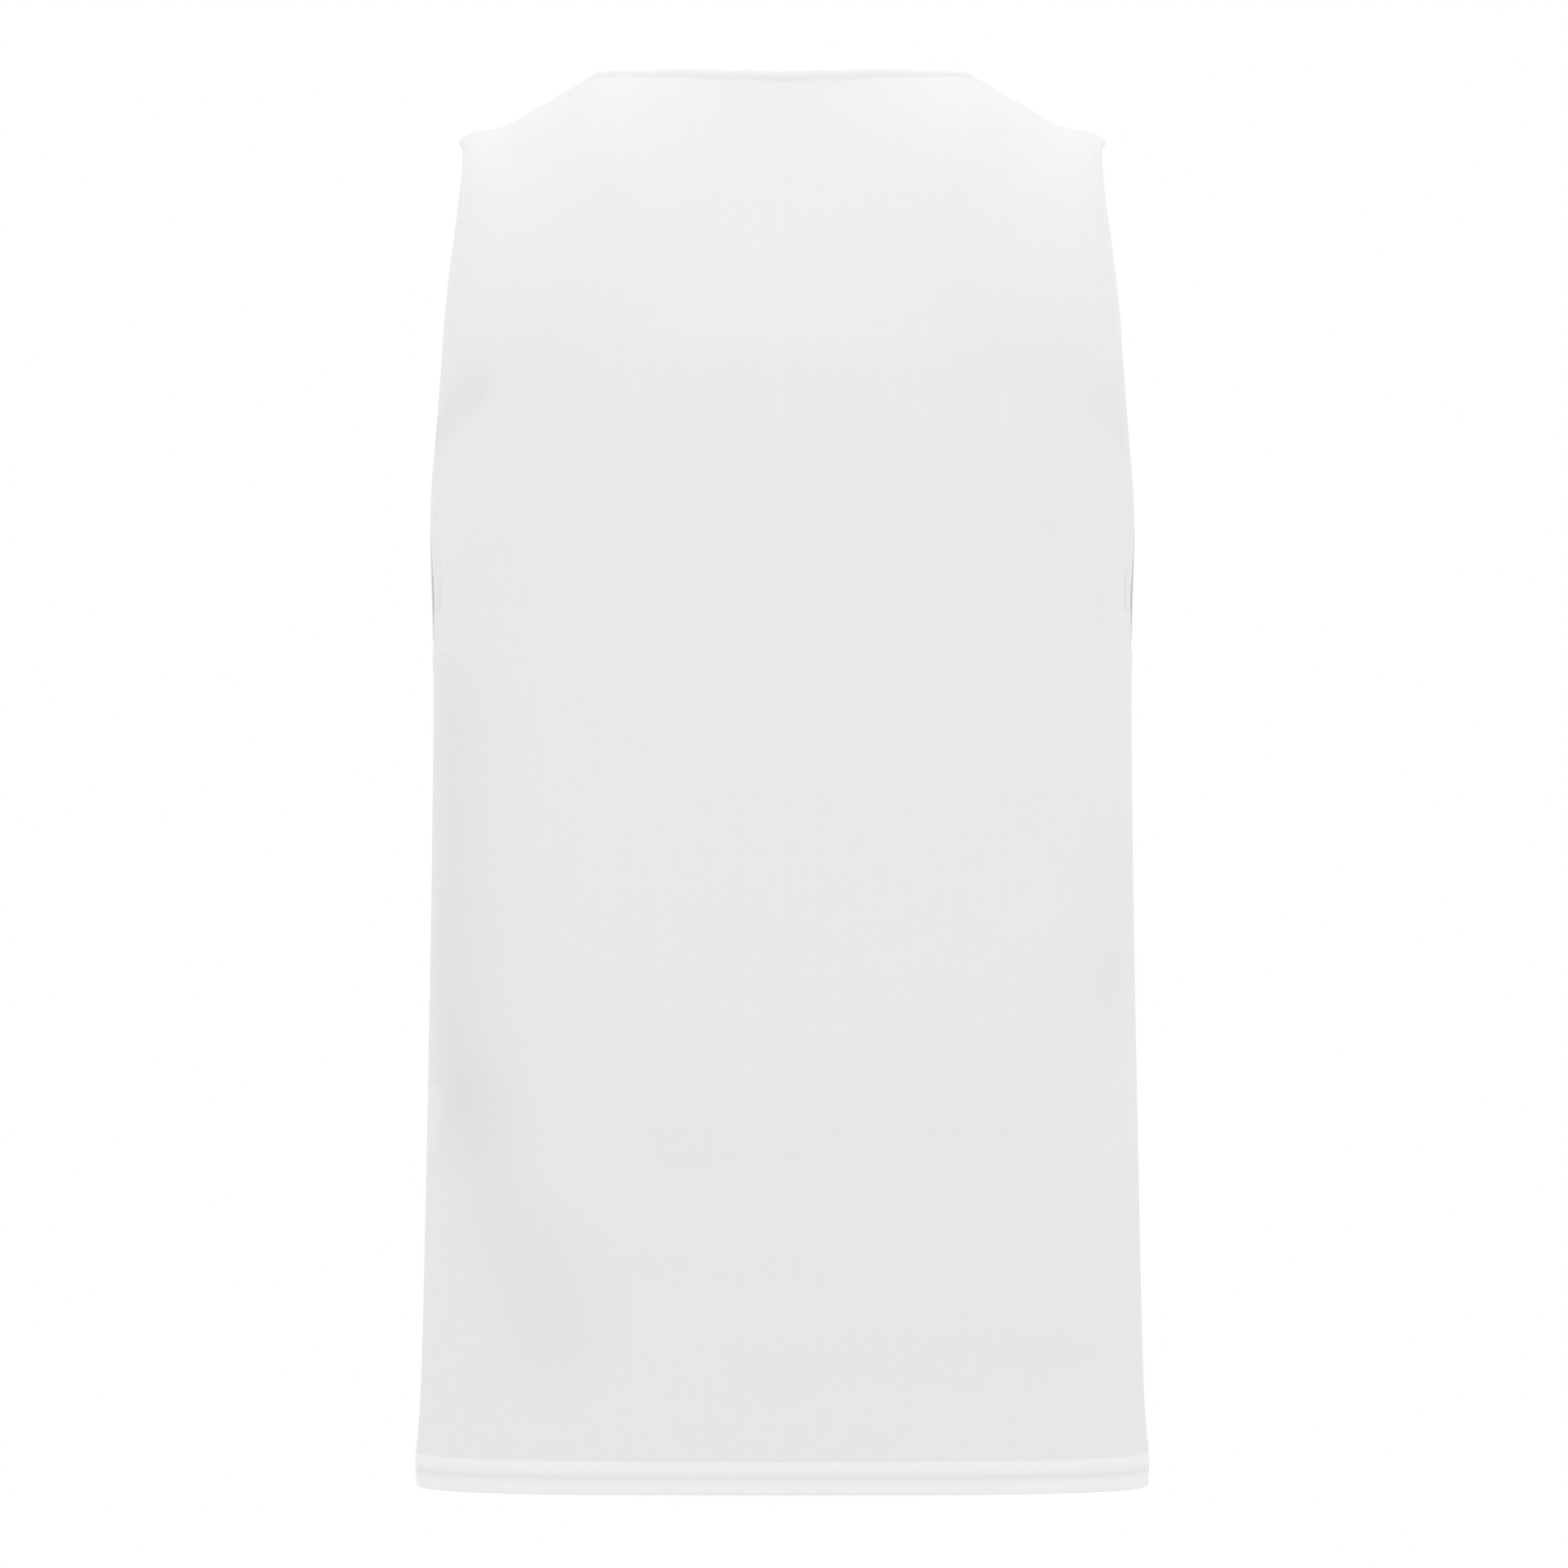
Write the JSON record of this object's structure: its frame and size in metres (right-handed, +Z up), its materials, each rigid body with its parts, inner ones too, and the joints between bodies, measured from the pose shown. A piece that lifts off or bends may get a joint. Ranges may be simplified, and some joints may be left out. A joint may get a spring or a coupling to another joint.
{
  "type": "basketball jersey",
  "caption": "Sleeveless white mesh basketball jersey, filled out as worn, with open neck, armholes and hem.",
  "frame": {"origin": "on the centre plane, between the shoulder tips, at the level where the straps rest on the wearer's shoulders", "axes": "+Z up to the neck, +Y the way the wearer faces, +X the wearer's right; the back, which the picture shows, faces -Y"},
  "size_m": [0.3922, 0.2442, 0.7524],
  "materials": {
    "mesh_cloth": "matt knitted mesh",
    "label_tape": "smooth woven tape"
  },
  "bodies": {
    "root": {"back_panel": "mesh_cloth", "front_panel": "mesh_cloth", "care_label": "label_tape"}
  },
  "joints": []
}
